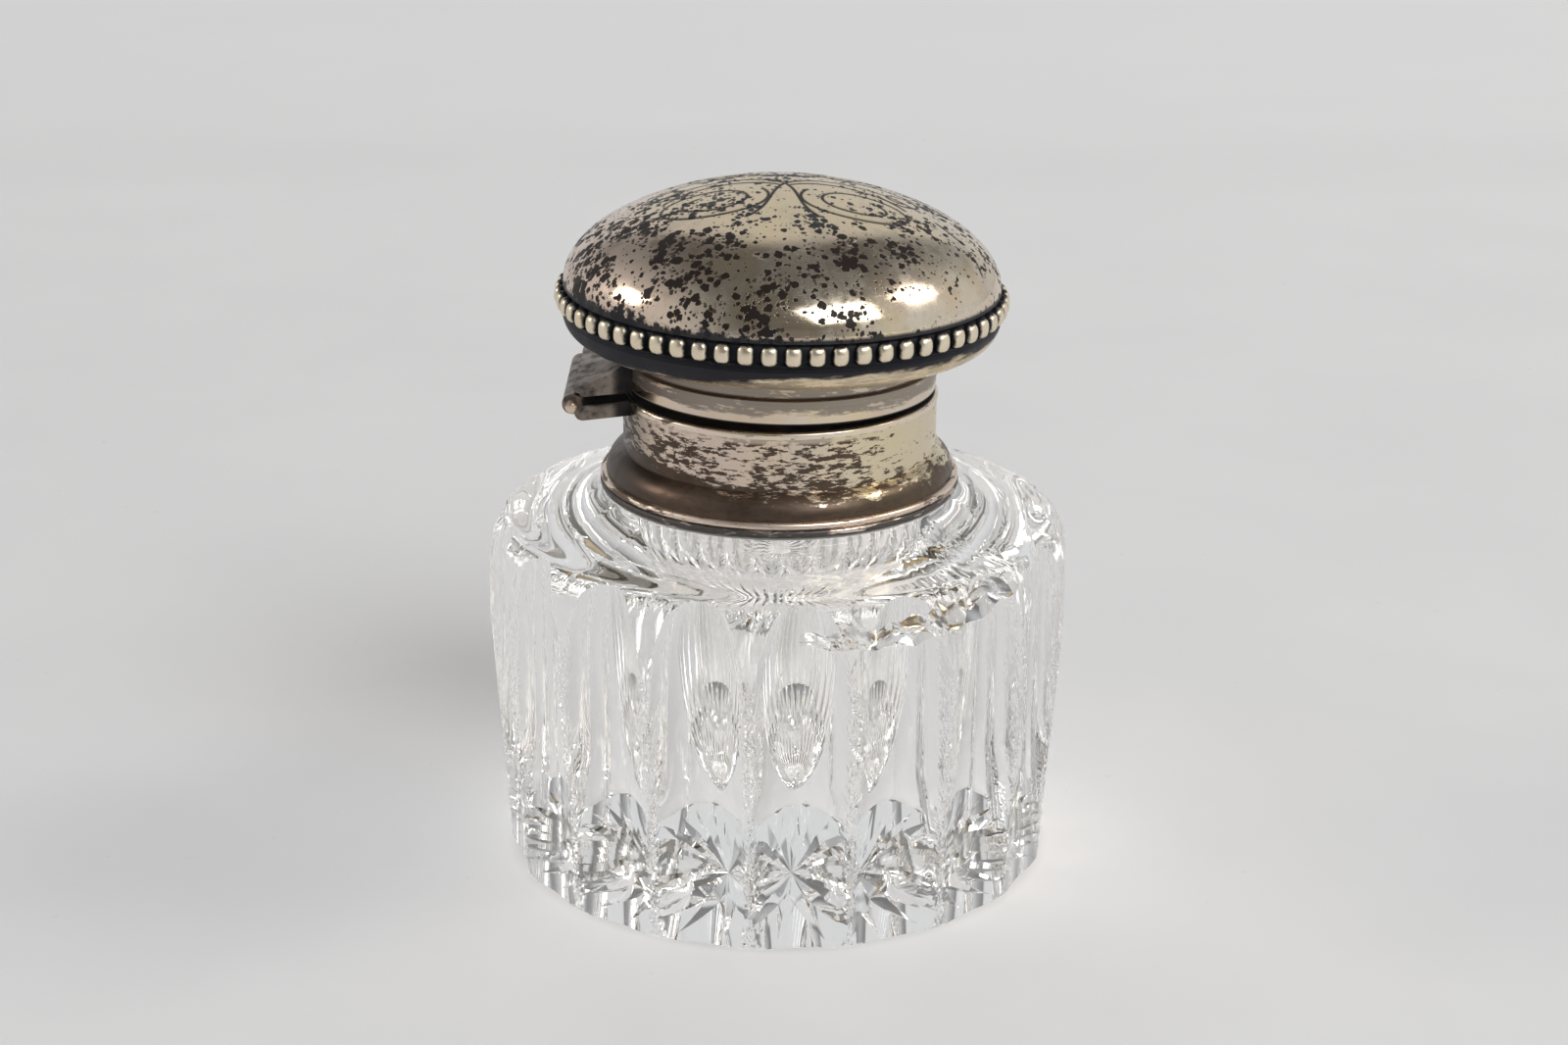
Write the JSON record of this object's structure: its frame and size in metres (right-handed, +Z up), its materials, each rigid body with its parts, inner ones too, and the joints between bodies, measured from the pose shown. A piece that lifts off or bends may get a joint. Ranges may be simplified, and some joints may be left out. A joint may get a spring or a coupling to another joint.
{
  "type": "inkwell",
  "caption": "Round cut-glass desk inkwell with a fluted side, a star-cut base, a beaded silver collar mount and a domed hinged lid.",
  "frame": {"origin": "centre of the circular foot, on the surface the inkwell stands on", "axes": "+Z up along the axis of the round bottle; the lid's hinge is on the -X side with its pin along Y; +X is the side the lid opens from"},
  "size_m": [0.0764, 0.0762, 0.0906],
  "materials": {
    "cut_glass": "clear, wheel cut and polished, with worn ridges",
    "plaster": "dull, ink-stained plaster",
    "tarnished_silver": "silver with a brown and blue-grey tarnish",
    "dome_silver": "polished silver with a warm bloom, specks of tarnish and shallow engraving",
    "hinge_silver": "worn silver, dark in the joints",
    "gilt_silver": "gilt, dulled by ink"
  },
  "bodies": {
    "bottle": {"glass_bottle": "cut_glass", "plaster_bed": "plaster", "collar_body": "tarnished_silver", "collar_top_wire": "tarnished_silver", "base_bead_wire": "tarnished_silver", "base_foot_wire": "tarnished_silver", "mouth_flange": "gilt_silver", "collar_leaf": "hinge_silver", "collar_knuckle_near": "hinge_silver", "collar_knuckle_far": "hinge_silver", "hinge_pin": "hinge_silver"},
    "lid": {"lid_bezel_band": "tarnished_silver", "lid_underside": "tarnished_silver", "bead_border": "tarnished_silver", "lid_dome": "dome_silver", "lid_liner": "gilt_silver", "lid_leaf": "hinge_silver", "lid_knuckle": "hinge_silver"}
  },
  "joints": [
    {"name": "lid_hinge", "type": "hinge", "parent": "bottle", "child": "lid", "pos_m": [-0.02625, 0, 0.06365], "axis": [0, -1, 0], "range_deg": [0, 105]}
  ]
}
